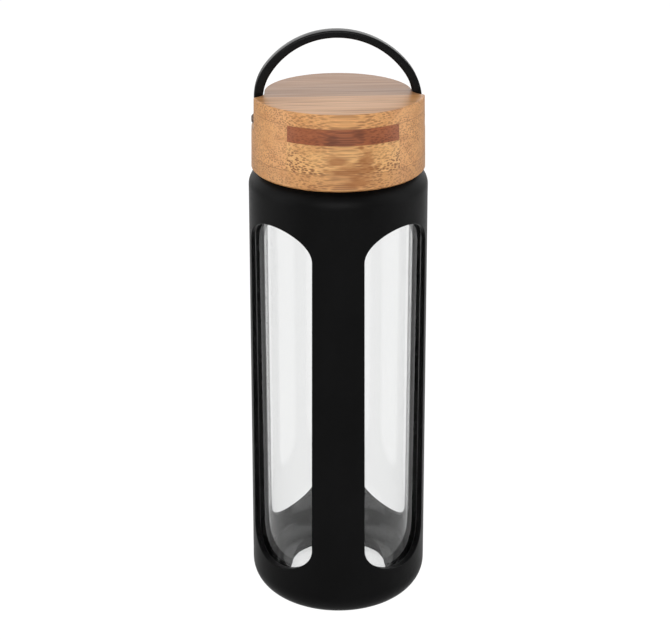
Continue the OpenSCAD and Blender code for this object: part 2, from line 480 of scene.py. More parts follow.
@dataclass(frozen=True)
class Bamboo(Finish):
    """Laminated bamboo with its fibres along X.

    The pattern is solid: bundles of fibre are points scattered over Y and Z and drawn out along
    X, so a face along the fibres shows streaks and a face across them shows dots.
    """

    ground: Colour = (0.7, 0.355, 0.135)
    warm: Colour = (0.5, 0.21, 0.065)
    bundle: Colour = (0.2, 0.07, 0.024)
    stain: Colour = (0.34, 0.12, 0.03)
    seed: float = 0.0
    dots: float = 0.5
    streaks: float = 0.5
    stains: tuple[Stain, ...] = ()
    glue_z_mm: tuple[float, ...] = ()
    roughness: float = 0.32

    def paint(self, graph: Graph) -> None:
        """Fills in the bamboo."""
        shift = (self.seed, 3.7 * self.seed, 1.9 * self.seed)
        dots = graph.cells((26.0, 1450.0, 1450.0), shift).step(0.62, 0.24)
        fine = graph.noise((45.0, 3200.0, 3200.0), 2.0, shift)
        bands = graph.noise((9.0, 260.0, 330.0), 3.0, shift)
        cloud = graph.noise((26.0, 60.0, 150.0), 2.0, shift)
        crowd = graph.noise((16.0, 120.0, 120.0), 2.0, shift).step(0.3, 0.62)

        pale = tuple(min(1.0, 1.2 * value) for value in self.ground)
        colour = graph.mix(self.ground, pale, fine.step(0.5, 0.3))
        colour = graph.mix(colour, self.warm, self.streaks * bands.step(0.42, 0.72))
        colour = graph.mix(colour, self.warm, 0.5 * self.streaks * cloud.step(0.45, 0.75))
        colour = graph.mix(colour, self.bundle, 0.3 * self.streaks * fine.step(0.52, 0.8))
        colour = graph.mix(colour, self.bundle, self.dots * dots * (0.35 + 0.65 * crowd))
        if self.stains:
            ragged = graph.noise((110.0, 620.0, 620.0), 3.0, shift)
            masks = [stain.mask(graph, ragged) for stain in self.stains]
            colour = graph.mix(colour, self.stain, self._largest(masks))
        if self.glue_z_mm:
            colour = graph.mix(colour, self.bundle, 0.55 * self._glue(graph))
        graph.principled(
            {
                "Base Color": colour,
                "Roughness": self.roughness + 0.15 * (fine - 0.5) + 0.1 * dots,
                "Specular IOR Level": 0.5,
                "Normal": graph.bump(fine - 0.7 * dots, 0.04, 0.5),
            }
        )

    @staticmethod
    def _largest(masks: Sequence[Signal]) -> Signal:
        """The largest of several masks."""
        total = masks[0]
        for mask in masks[1:]:
            total = total.larger(mask)
        return total

    def _glue(self, graph: Graph) -> Signal:
        """Thin lines at the heights where the board is glued to its neighbours."""
        z = graph.axis("Z")
        lines = [abs(z - height * MM).step(0.16 * MM, 0.04 * MM) for height in self.glue_z_mm]
        return self._largest(lines)


# ---------------------------------------------------------------------------------------------
# Surfaces
# ---------------------------------------------------------------------------------------------


def rounded(corners: Sequence[Corner], steps: int = 8) -> np.ndarray:
    """An outline whose corners are turned into arcs.

    At a corner P with unit directions a and b to its neighbours and a half angle h between them,
    the arc's centre is P + (a + b) / |a + b| * r / sin(h), and it touches both sides at a
    distance r / tan(h) from P. The first and last points stay as they are.

    Args:
        corners: each corner as two coordinates and its radius, 0 for a sharp one.
        steps: how many steps each arc has.

    Returns:
        The outline's points, one a row.
    """
    points = np.array(corners, float)
    parts = [points[:1, :2]]
    for before, here, after in zip(points[:-2], points[1:-1], points[2:]):
        corner, radius = here[:2], here[2]
        a = (before[:2] - corner) / np.linalg.norm(before[:2] - corner)
        b = (after[:2] - corner) / np.linalg.norm(after[:2] - corner)
        if radius <= 0 or abs(a @ b) > 0.99999:
            parts.append(corner[None])
            continue
        half = math.acos(float(np.clip(a @ b, -1, 1))) / 2
        centre = corner + (a + b) / np.linalg.norm(a + b) * radius / math.sin(half)
        start = corner + a * radius / math.tan(half) - centre
        end = corner + b * radius / math.tan(half) - centre
        turn = math.atan2(start[0] * end[1] - start[1] * end[0], start @ end)
        angles = np.linspace(0, turn, steps + 1)[:, None]
        across = np.array([-start[1], start[0]])
        parts.append(centre + start * np.cos(angles) + across * np.sin(angles))
    parts.append(points[-1:, :2])
    return np.concatenate(parts)


def densified(outline: np.ndarray, longest: float) -> np.ndarray:
    """The outline with points added, so that no step is much longer than asked.

    Args:
        outline: the points, one a row.
        longest: the longest step wanted.

    Returns:
        The outline with its old points and the new ones.
    """
    lengths = np.linalg.norm(np.diff(outline, axis=0), axis=1)
    keep = np.concatenate([[True], lengths > 1e-6])
    outline = outline[keep]
    lengths = lengths[lengths > 1e-6]
    counts = np.maximum(1, np.ceil(lengths / longest)).astype(int)
    along = np.concatenate([[0.0], np.cumsum(lengths)])
    starts = np.repeat(along[:-1], counts)
    steps = np.concatenate([np.arange(count) / count for count in counts])
    places = np.append(starts + steps * np.repeat(lengths, counts), along[-1])
    return np.stack([np.interp(places, along, column) for column in outline.T], axis=1)


def azimuths(count: int) -> np.ndarray:
    """That many azimuths spread evenly round the axis, in radians."""
    return np.arange(count) * 2 * math.pi / count


def polar(radius: np.ndarray, azimuth: np.ndarray, z: np.ndarray) -> np.ndarray:
    """Points at a radius, an azimuth from -Y and a height: (r sin a, -r cos a, z).

    Args:
        radius: the distance from the axis.
        azimuth: the azimuth in radians.
        z: the height.

    Returns:
        An array with a last axis of three.
    """
    radius, azimuth, z = np.broadcast_arrays(radius, azimuth, z)
    return np.stack([radius * np.sin(azimuth), -radius * np.cos(azimuth), z], axis=-1)


def revolved(profile: np.ndarray, azimuth: np.ndarray) -> np.ndarray:
    """A profile of radius and height carried round the axis.

    Args:
        profile: the points, one a row.
        azimuth: the azimuths of the columns, in radians.

    Returns:
        A grid with a row for each profile point and a column for each azimuth.
    """
    return polar(profile[:, :1], azimuth[None, :], profile[:, 1:])


@dataclass(frozen=True)
class Thread:
    """A single-start right-hand ridge with a rounded crest and tapered ends."""

    start_z: float
    turns: float
    depth: float
    lead: float = 4.0
    root: float = 2.1
    crest: float = 0.7
    start_azimuth: float = math.radians(290)
    taper: float = math.radians(45)

    def height(self, azimuth: np.ndarray, z: np.ndarray) -> np.ndarray:
        """The ridge's height above its wall.

        At a turn t from the start, the ridge's middle is at start_z + lead * t / 2 pi. The flank
        falls smoothly from the crest to the root, and both ends fade over the taper.

        Args:
            azimuth: the azimuths in radians.
            z: the heights.

        Returns:
            The ridge's height at each azimuth and height.
        """
        azimuth, z = np.broadcast_arrays(azimuth, z)
        first = np.mod(azimuth - self.start_azimuth, 2 * math.pi)
        total = self.turns * 2 * math.pi
        best = np.zeros(first.shape)
        for lap in range(math.ceil(self.turns)):
            turned = first + lap * 2 * math.pi
            middle = self.start_z + self.lead * turned / (2 * math.pi)
            flank = (self.root / 2 - abs(z - middle)) / ((self.root - self.crest) / 2)
            fade = np.minimum(turned, total - turned) / self.taper
            best = np.maximum(best, smooth(flank) * smooth(fade))
        return best * self.depth


def smooth(value: np.ndarray) -> np.ndarray:
    """A smooth step from 0 at 0 to 1 at 1."""
    value = np.clip(value, 0, 1)
    return value * value * (3 - 2 * value)


class Shell:
    """Grids of points, in millimetres, that are welded into one closed mesh."""

    def __init__(self) -> None:
        """Starts empty."""
        self._points: list[np.ndarray] = []
        self._quads: list[np.ndarray] = []
        self._count = 0

    def add(self, grid: np.ndarray, *, ring: bool = True, loop: bool = False) -> Shell:
        """Adds a grid of points and the quads between them.

        Args:
            grid: points by row and column.
            ring: whether the last column joins the first.
            loop: whether the last row joins the first.

        Returns:
            The shell itself.
        """
        rows, columns, _ = grid.shape
        index = np.arange(rows * columns).reshape(rows, columns) + self._count
        if ring:
            index = np.hstack([index, index[:, :1]])
        if loop:
            index = np.vstack([index, index[:1]])
        corners = [index[:-1, :-1], index[:-1, 1:], index[1:, 1:], index[1:, :-1]]
        self._quads.append(np.stack(corners, axis=-1).reshape(-1, 4))
        self._points.append(grid.reshape(-1, 3))
        self._count += rows * columns
        return self

    def build(self, name: str, sharp_deg: float = 35.0) -> bpy.types.Object:
        """Makes the mesh: welded, closed, facing outwards and smooth but for its sharp edges.

        Args:
            name: the piece's name.
            sharp_deg: the angle past which an edge stays sharp.

        Returns:
            The new object.
        """
        points = (np.concatenate(self._points) * MM).astype(np.float32)
        quads = np.concatenate(self._quads).astype(np.int32)
        mesh = bpy.data.meshes.new(name)
        mesh.vertices.add(len(points))
        mesh.vertices.foreach_set("co", points.ravel())
        mesh.loops.add(quads.size)
        mesh.loops.foreach_set("vertex_index", quads.ravel())
        mesh.polygons.add(len(quads))
        mesh.polygons.foreach_set("loop_start", np.arange(0, quads.size, 4, dtype=np.int32))
        mesh.update(calc_edges=True)
        welded = bmesh.new()
        welded.from_mesh(mesh)
        bmesh.ops.remove_doubles(welded, verts=welded.verts, dist=WELD)
        bmesh.ops.dissolve_degenerate(welded, edges=welded.edges, dist=WELD)
        bmesh.ops.recalc_face_normals(welded, faces=welded.faces)
        welded.to_mesh(mesh)
        welded.free()
        mesh.shade_smooth()
        mesh.set_sharp_from_angle(angle=math.radians(sharp_deg))
        piece = bpy.data.objects.new(name, mesh)
        bpy.context.scene.collection.objects.link(piece)
        return piece


@dataclass
class Piece:
    """What every piece of the bottle has: the CAD node that it stands for, its body and finish."""

    node: str
    body: Body
    finish: Finish

    def __post_init__(self) -> None:
        """Reads the node's box from the frame, in millimetres."""
        low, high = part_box(self.node)
        self.low = np.array(low) / MM
        self.high = np.array(high) / MM

    def shell(self) -> Shell:
        """The piece's surface; each piece says how."""
        raise NotImplementedError

    def make(self) -> bpy.types.Object:
        """Builds the piece, dresses it and sets it on its body in place of its CAD node.

        Returns:
            The finished piece.
        """
        made = self.shell().build(f"{self.node}_finished")
        made.data.materials.append(self.finish.material())
        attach(made, self.body.value)
        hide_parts(self.node)
        LOG.info("%s: %d faces on %s", made.name, len(made.data.polygons), self.body.value)
        return made


@dataclass
class GlassBottle(Piece):
    """The blown bottle: a thick base with a shallow punt, a heel, straight walls and a neck."""

    shoulder_r: float = 33.0
    heel_r: float = 33.5
    wall: float = 3.6
    base: float = 6.0
    inner_corner: float = 10.0
    neck_r: float = 26.0
    neck_h: float = 11.0
    mouth_r: float = 22.8
    punt_r: float = 22.0
    punt_h: float = 2.4
    floor_r: float = 19.5
    columns: int = 256

    def shell(self) -> Shell:
        """The outer skin from the punt to the rim, then the inner skin down to the floor."""
        foot = self.low[2]
        rim = self.high[2]
        shoulder = rim - self.neck_h
        around = azimuths(self.columns)
        punt = np.linspace(0, self.punt_r, 12)
        hollow = np.stack([punt, foot + self.punt_h * (1 - (punt / self.punt_r) ** 2)], axis=1)
        outside = rounded(
            [
                (self.punt_r, foot, 0),
                (self.heel_r, foot, 8),
                (self.shoulder_r, shoulder, 7),
                (self.neck_r, shoulder, 1.1),
                (self.neck_r, shoulder + 1.3, 0),
            ],
            12,
        )
        neck = np.array([[self.neck_r, shoulder + 1.3], [self.neck_r, rim - 1.3]])
        lip = rounded(
            [
                (self.neck_r, rim - 1.3, 0),
                (self.neck_r, rim, 1.2),
                (self.mouth_r, rim, 1.2),
                (self.mouth_r, rim - 3, 0),
            ],
            8,
        )
        floor = foot + self.base
        inside = rounded(
            [
                (self.mouth_r, rim - 3, 0),
                (self.mouth_r, shoulder - self.wall, 1.0),
                (self.shoulder_r - self.wall, shoulder - self.wall, 5.5),
                (self.heel_r - self.wall, floor, self.inner_corner),
                (self.floor_r, floor, 0),
            ],
            14,
        )
        dome = np.linspace(self.floor_r, 0, 12)
        swell = np.stack([dome, floor + self.punt_h * (1 - (dome / dome[0]) ** 2)], axis=1)
        thread = Thread(start_z=shoulder + 4.4, turns=1.25, depth=1.4)
        threaded = densified(neck, 0.2)
        ridge = thread.height(around[None, :], threaded[:, 1:])
        below = densified(np.concatenate([hollow, outside]), 12.0)
        above = densified(np.concatenate([lip, inside, swell]), 12.0)
        return (
            Shell()
            .add(revolved(below, around))
            .add(polar(threaded[:, :1] + ridge, around[None, :], threaded[:, 1:]))
            .add(revolved(above, around))
        )


@dataclass
class SiliconeSleeve(Piece):
    """The moulded sleeve: a foot, four windows with rounded edges and a lip over the shoulder."""

    turn: float = math.radians(-4)
    window_turn: float = math.radians(45.8)
    window_half: float = 17.0
    window_low: float = 19.6
    window_high: float = 167.6
    end_low: float = 12.0
    end_high: float = 11.6
    edge: float = 0.5
    inner_foot_r: float = 33.6
    inner_top_r: float = 33.1
    foot_r: float = 36.2
    top_r: float = 34.9
    foot_fillet: float = 10.8
    top_round: float = 6.2
    base: float = 2.5
    opening_r: float = 21.7
    lip_r: float = 28.4
    shoulder_r: float = 7.1
    band_low: float = 14.0
    band_high: float = 173.0
    across: int = 36
    end_steps: int = 10
    side_steps: int = 50

    def outer_r(self, z: np.ndarray) -> np.ndarray:
        """Outer radius of the wall: a straight taper from the foot to the top."""
        heights = [self.foot_fillet, self.high[2] - self.top_round]
        return np.interp(z, heights, [self.foot_r, self.top_r])

    def inner_r(self, z: np.ndarray) -> np.ndarray:
        """Inner radius of the wall, a skin's gap from the glass."""
        heights = [self.foot_fillet, self.band_high]
        return np.interp(z, heights, [self.inner_foot_r, self.inner_top_r])

    def wrapped(self, azimuth: np.ndarray, z: np.ndarray, outer: bool) -> np.ndarray:
        """Points on the wall's outer or inner face at an azimuth and height."""
        radius = self.outer_r(z) if outer else self.inner_r(z)
        return polar(radius, azimuth + self.turn, z)

    def _window_loop(self) -> tuple[np.ndarray, np.ndarray]:
        """One window's outline, flat, and its outward direction.

        The outline is a straight-sided slot with half-elliptic ends. It starts an eighth of a
        turn before the lowest point and runs anticlockwise in X across and Z up.

        Returns:
            The points and the unit directions away from the window.
        """
        eighth = math.pi / 4
        low_z = self.window_low + self.end_low
        high_z = self.window_high - self.end_high
        bottom = np.linspace(-3 * eighth, -eighth, self.across + 1)[:-1]
        low_right = np.linspace(-eighth, 0, self.end_steps + 1)[:-1]
        high_right = np.linspace(0, eighth, self.end_steps + 1)[:-1]
        top = np.linspace(eighth, 3 * eighth, self.across + 1)[:-1]
        high_left = np.linspace(3 * eighth, 4 * eighth, self.end_steps + 1)[:-1]
        low_left = np.linspace(-4 * eighth, -3 * eighth, self.end_steps + 1)[:-1]
        rise = np.linspace(low_z, high_z, self.side_steps + 1)[:-1]
        fall = np.linspace(high_z, low_z, self.side_steps + 1)[:-1]

        def ended(angles: np.ndarray, centre_z: float, height: float) -> np.ndarray:
            """Points and directions round an elliptic end.

            Args:
                angles: the angles round the end.
                centre_z: the height of the end's centre.
                height: the end's half axis along Z.

            Returns:
                Rows of across, up and the two parts of the outward direction.
            """
            x, z = np.cos(angles), np.sin(angles)
            normal = np.stack([x / self.window_half, z / height], axis=1)
            normal /= np.linalg.norm(normal, axis=1, keepdims=True)
            return np.column_stack([x * self.window_half, centre_z + z * height, normal])

        def sided(heights: np.ndarray, side: float) -> np.ndarray:
            """Points and directions along a straight side.

            Args:
                heights: the points' heights.
                side: 1 for the right side, -1 for the left.

            Returns:
                Rows of across, up and the two parts of the outward direction.
            """
            one = np.ones_like(heights)
            return np.column_stack([side * self.window_half * one, heights, side * one, 0 * one])

        loop = np.concatenate(
            [
                ended(bottom, low_z, self.end_low),
                ended(low_right, low_z, self.end_low),
                sided(rise, 1.0),
                ended(high_right, high_z, self.end_high),
                ended(top, high_z, self.end_high),
                ended(high_left, high_z, self.end_high),
                sided(fall, -1.0),
                ended(low_left, low_z, self.end_low),
            ]
        )
        return loop[:, :2], loop[:, 2:]

    def _border_loop(self, start: float) -> np.ndarray:
        """The border of one quarter of the wall, in azimuths and heights, point for point.

        Args:
            start: the azimuth at which the quarter starts.

        Returns:
            A point for each of the window's points.
        """
        quarter = math.pi / 2
        low_z = self.window_low + self.end_low
        high_z = self.window_high - self.end_high
        side = np.concatenate(
            [
                np.linspace(self.band_low, low_z, self.end_steps + 1)[:-1],
                np.linspace(low_z, high_z, self.side_steps + 1)[:-1],
                np.linspace(high_z, self.band_high, self.end_steps + 1),
            ]
        )
        along = start + quarter * np.arange(self.across) / self.across
        back = start + quarter - quarter * np.arange(self.across) / self.across
        one = np.ones(len(side) - 1)
        return np.concatenate(
            [
                np.column_stack([along, np.full(self.across, self.band_low)]),
                np.column_stack([(start + quarter) * one, side[:-1]]),
                np.column_stack([back, np.full(self.across, self.band_high)]),
                np.column_stack([start * one, side[:0:-1]]),
            ]
        )

    def _quarter(self, number: int) -> np.ndarray:
        """A quarter of the wall: from its border over the outer face, through the window, and back.

        Rows run from the border to the window's edge, round the edge as a quadratic curve whose
        middle control point is the sharp edge, straight through the wall, round the inner edge
        and back to the border. Every row has one point for each point of the window's outline.

        Args:
            number: which quarter, from 0 at the front, anticlockwise.

        Returns:
            The grid of points.
        """
        start = number * math.pi / 2
        lean = self.window_turn if number % 2 == 0 else math.pi / 2 - self.window_turn
        middle = start + lean
        outline, away = self._window_loop()
        border = self._border_loop(start)
        inward = -polar(1.0, middle + self.turn, 0.0)

        def on_face(offset: float, outer: bool) -> tuple[np.ndarray, np.ndarray]:
            """The outline moved away from the window, laid on a face of the wall.

            Args:
                offset: how far it is moved.
                outer: whether the face is the outer one.

            Returns:
                The azimuths and the heights.
            """
            moved = outline + offset * away
            radius = self.outer_r(moved[:, 1]) if outer else self.inner_r(moved[:, 1])
            return middle + np.arcsin(moved[:, 0] / radius), moved[:, 1]

        def spread(outer: bool) -> np.ndarray:
            """Rows on a face from the border in to the edge's rounding.

            Args:
                outer: whether the face is the outer one.

            Returns:
                The grid of points.
            """
            azimuth, z = on_face(self.edge, outer)
            share = (np.linspace(1, 0, 9) ** 1.6)[:, None]
            return self.wrapped(
                azimuth + share * (border[:, 0] - azimuth), z + share * (border[:, 1] - z), outer
            )

        def turned(outer: bool, through: np.ndarray) -> np.ndarray:
            """Rows round an edge, from the face into the cut.

            Args:
                outer: whether the face is the outer one.
                through: the step from the sharp edge into the cut.

            Returns:
                The grid of points.
            """
            edge = self.wrapped(*on_face(0.0, outer), outer)
            face = self.wrapped(*on_face(self.edge, outer), outer)
            t = np.linspace(0, 1, 7)[1:, None, None]
            return (1 - t) ** 2 * face + 2 * t * (1 - t) * edge + t**2 * (edge + through)

        outside = np.concatenate([spread(True), turned(True, inward * self.edge)])
        inside = np.concatenate([spread(False), turned(False, -inward * self.edge)])
        return np.concatenate([outside, inside[::-1]])

    def shell(self) -> Shell:
        """Four quarters with their windows, the shoulder above them and the foot below.

        Under the crest the inner face follows the glass's shoulder: an arc of shoulder_r about a
        centre that far inside the inner wall, from the lip out to the wall.
        """
        around = azimuths(4 * self.across) + self.turn
        top = self.high[2]
        centre = np.array([self.inner_top_r - self.shoulder_r, top - 0.4 - 7.0])
        lip = math.acos((self.lip_r + 0.25 - centre[0]) / self.shoulder_r)
        angles = np.linspace(lip, 0, 14)
        hug = centre + self.shoulder_r * np.column_stack([np.cos(angles), np.sin(angles)])
        over = rounded(
            [
                (float(self.outer_r(self.band_high)), self.band_high, 0),
                (self.top_r, top, self.top_round),
                (self.lip_r, top, 0.25),
                (self.lip_r, float(hug[0, 1]) + 0.15, 0.1),
                (float(hug[0, 0]), float(hug[0, 1]), 0),
            ],
            12,
        )
        crest = np.concatenate([over, hug[1:], [[self.inner_top_r, self.band_high]]])
        foot = rounded(
            [
                (float(self.outer_r(self.band_low)), self.band_low, 0),
                (self.foot_r, 0.0, self.foot_fillet),
                (self.opening_r, 0.0, 0.5),
                (self.opening_r, self.base, 0.5),
                (self.inner_foot_r, self.base, 8.1),
                (float(self.inner_r(self.band_low)), self.band_low, 0),
            ],
            14,
        )
        made = Shell()
        for number in range(4):
            made.add(self._quarter(number))
        made.add(revolved(densified(crest, 4.0), around))
        made.add(revolved(densified(foot, 3.0), around))
        return made


@dataclass
class ThreadedLiner(Piece):
    """The moulded liner: a threaded skirt, a roof and the ring that locates the seal."""

    wall: float = 1.8
    roof: float = 1.5
    ring_r: float = 22.55
    ring_t: float = 1.2
    ring_h: float = 1.2
    columns: int = 256

    def shell(self) -> Shell:
        """Over the roof, down the skirt, up the threaded bore and across under the roof."""
        around = azimuths(self.columns)
        radius = self.high[0]
        bore = radius - self.wall
        low, high = self.low[2], self.high[2]
        under = high - self.roof
        outside = rounded(
            [
                (0.0, high, 0),
                (radius, high, 0.3),
                (radius, low, 0.4),
                (bore, low, 0.4),
                (bore, low + 0.6, 0),
            ],
            6,
        )
        threaded = densified(np.array([[bore, low + 0.6], [bore, under - 0.6]]), 0.2)
        inside = rounded(
            [
                (bore, under - 0.6, 0),
                (bore, under, 0.3),
                (self.ring_r, under, 0),
                (self.ring_r, under - self.ring_h, 0.25),
                (self.ring_r - self.ring_t, under - self.ring_h, 0.25),
                (self.ring_r - self.ring_t, under, 0),
                (0.0, under, 0),
            ],
            5,
        )
        thread = Thread(start_z=low + 1.15, turns=1.1, depth=1.4)
        ridge = thread.height(around[None, :], threaded[:, 1:])
        return (
            Shell()
            .add(revolved(densified(outside, 3.0), around))
            .add(polar(threaded[:, :1] - ridge, around[None, :], threaded[:, 1:]))
            .add(revolved(densified(inside, 3.0), around))
        )


@dataclass
class SealRing(Piece):
    """The flat seal, with rounded edges."""

    width: float = 5.0
    edge: float = 0.45

    def shell(self) -> Shell:
        """A rounded rectangle carried round the axis."""
        outer = self.high[0]
        inner = outer - self.width
        low, high = self.low[2], self.high[2]
        middle = (outer + inner) / 2
        section = rounded(
            [
                (middle, low, 0),
                (outer, low, self.edge),
                (outer, high, self.edge),
                (inner, high, self.edge),
                (inner, low, self.edge),
                (middle, low, 0),
            ],
            5,
        )[:-1]
        return Shell().add(revolved(section, azimuths(144)), loop=True)


@dataclass
class CarryHandle(Piece):
    """The folding handle: a flat band bent into a three-centred arch, with round eyes below."""

    leg_t: float = 3.4
    crown_t: float = 2.8
    leg: float = 7.0
    haunch: float = 22.0
    edge: float = 0.6
    lean: float = -0.036
    arch_points: int = 41
    eye_points: int = 13
    leg_points: int = 7
    corner_points: int = 6

    def _half_arch(self, half: float, rise: float, haunch: float, share: np.ndarray) -> np.ndarray:
        """Points on one half of a three-centred arch, from its springing to its crown.

        The haunch's centre is at half - haunch on the springing line, and the crown's centre lies
        below it by drop, so that both arcs share a tangent where they meet.

        Args:
            half: half the span.
            rise: the crown's height above the springing line.
            haunch: the haunch's radius.
            share: shares of the half arch's length, from 0 to 1.

        Returns:
            Points across and up, one a row.
        """
        inset = half - haunch
        drop = (inset**2 - (rise - haunch) ** 2) / (2 * (rise - haunch))
        crown = rise + drop
        meet = math.atan2(drop, inset)
        haunch_length = haunch * meet
        total = haunch_length + crown * (math.pi / 2 - meet)
        along = share * total
        first = np.minimum(along, haunch_length) / haunch
        second = meet + np.maximum(0, along - haunch_length) / crown
        low = np.column_stack([inset + haunch * np.cos(first), haunch * np.sin(first)])
        high = np.column_stack([crown * np.cos(second), crown * np.sin(second) - drop])
        return np.where((along < haunch_length)[:, None], low, high)

    def shell(self) -> Shell:
        """A rounded section carried up one leg, over the arch and down the other leg.

        The band has taken a slight set: above the legs it leans sideways by lean for each
        millimetre of height.
        """
        half = self.high[0]
        width = self.high[1] - self.low[1]
        eye = width / 2
        pivot = self.low[2] + eye
        springing = pivot + self.leg
        rise = self.high[2] - springing
        share = np.linspace(0, 1, self.arch_points)
        outer = self._half_arch(half, rise, self.haunch, share)
        inner = self._half_arch(
            half - self.leg_t, rise - self.crown_t, self.haunch - self.leg_t, share
        )
        swing = np.linspace(math.pi / 2, 0, self.eye_points)
        eye_z = -eye * np.sin(swing)
        leg_z = np.concatenate([eye_z, np.linspace(0, self.leg, self.leg_points + 2)[1:-1]])
        straight = self.leg_points + self.arch_points
        breadth = np.concatenate([eye * np.cos(swing), np.full(straight, eye)])
        narrowing = self.edge * (1 - np.sin(np.arccos(np.sin(swing))))
        pinch = np.concatenate([narrowing, np.zeros(straight)])

        def path(arch: np.ndarray, leg_x: float) -> np.ndarray:
            """One side of the band from the eye's lowest point to the crown."""
            leg = np.column_stack([np.full(len(leg_z), leg_x), leg_z])
            return np.concatenate([leg, arch + [0, self.leg]])

        out_path = path(outer, half)
        in_path = path(inner, half - self.leg_t)
        out_all = np.concatenate([out_path, (out_path * [-1, 1])[-2::-1]])
        in_all = np.concatenate([in_path, (in_path * [-1, 1])[-2::-1]])
        breadth = np.concatenate([breadth, breadth[-2::-1]])
        pinch = np.concatenate([pinch, pinch[-2::-1]])

        centre = (out_all + in_all) / 2
        thick = np.linalg.norm(out_all - in_all, axis=1)
        normal = (out_all - in_all) / thick[:, None]
        radius = np.minimum(self.edge, 0.98 * breadth)[:, None]
        turn = np.linspace(0, math.pi / 2, self.corner_points)
        angles = np.concatenate([turn + quarter * math.pi / 2 for quarter in range(4)])
        side_a = np.repeat([1, -1, -1, 1], self.corner_points)
        side_b = np.repeat([1, 1, -1, -1], self.corner_points)
        a = side_a * (thick[:, None] / 2 - pinch[:, None] - radius) + radius * np.cos(angles)
        b = side_b * (breadth[:, None] - radius) + radius * np.sin(angles)
        above = centre[:, 1:] + normal[:, 1:] * a
        x = centre[:, :1] + normal[:, :1] * a + self.lean * np.maximum(above - self.leg / 2, 0)
        return Shell().add(np.stack([x, b, above + pivot], axis=-1))


@dataclass
class PivotScrew(Piece):
    """A shouldered screw with a low domed head and a hexagon socket."""

    side: int = 1
    shank_r: float = 1.2
    head_r: float = 2.2
    head_h: float = 1.6
    socket: float = 1.0
    socket_depth: float = 0.7
    columns: int = 48

    def shell(self) -> Shell:
        """Rings along the screw's axis, with six-sided ones for the socket.

        A six-sided ring of corner radius c has the radius c cos(30) / cos(m - 30), where m is
        the angle past the last corner.
        """
        around = azimuths(self.columns)
        pivot_z = (self.low[2] + self.high[2]) / 2
        reach = self.high[0] if self.side > 0 else -self.low[0]
        start = self.low[0] if self.side > 0 else -self.high[0]
        under = reach - self.head_h
        sixth = math.pi / 3
        hexagon = math.cos(sixth / 2) / np.cos(np.mod(around, sixth) - sixth / 2)
        one = np.ones(self.columns)
        ball = (self.head_r**2 + self.head_h**2) / (2 * self.head_h)

        def dome(radius: np.ndarray) -> np.ndarray:
            """How far along the axis the domed head reaches at a radius."""
            return reach - ball + np.sqrt(ball**2 - radius**2)

        floor = reach - self.socket_depth
        rim = np.linspace(0, 1, 9)[1:, None]
        opening = self.socket * hexagon * 1.06
        spread = opening + (self.head_r * 0.985 - opening) * rim
        rings = [(0 * one, floor * one), (self.socket * hexagon, floor * one)]
        rings.append((self.socket * hexagon, dome(opening) - 0.06))
        rings.append((opening, dome(opening)))
        rings += [(row, dome(row)) for row in spread]
        rings.append((self.head_r * one, (under + 0.06) * one))
        rings.append((self.head_r * 0.97 * one, under * one))
        rings.append((self.shank_r * one, under * one))
        rings.append((self.shank_r * one, (start + 0.9) * one))
        rings.append((self.shank_r * 0.45 * one, start * one))
        rings.append((0 * one, start * one))
        radius = np.stack([ring[0] for ring in rings])
        along = np.stack([ring[1] for ring in rings]) * self.side
        points = [along, radius * np.cos(around), pivot_z + radius * np.sin(around)]
        return Shell().add(np.stack(points, axis=-1))


@dataclass
class BambooBoard(Piece):
    """A board of the lid whose CAD shape is already right; it only needs its finish."""

    def make(self) -> bpy.types.Object:
        """Dresses the CAD node itself."""
        node = bpy.data.objects[self.node]
        node.data.materials.clear()
        node.data.materials.append(self.finish.material())
        LOG.info("%s: dressed", self.node)
        return node


# ---------------------------------------------------------------------------------------------
# Studio
# ---------------------------------------------------------------------------------------------


@dataclass(frozen=True)
class Softbox:
    """A rectangular soft light that looks at a point on the bottle's axis."""

    name: str
    place: Colour
    size: tuple[float, float]
    power: float
    aim_z: float = 0.12

    def make(self) -> None:
        """Adds the light."""
        data = bpy.data.lights.new(self.name, "AREA")
        data.shape = "RECTANGLE"
        data.size, data.size_y = self.size
        data.energy = self.power
        light = bpy.data.objects.new(self.name, data)
        light.location = self.place
        x, y, z = self.place
        down = math.atan2(math.hypot(x, y), z - self.aim_z)
        light.rotation_euler = (down, 0.0, math.atan2(y, x) + math.pi / 2)
        light.visible_camera = False
        light.visible_transmission = False
        bpy.context.scene.collection.objects.link(light)


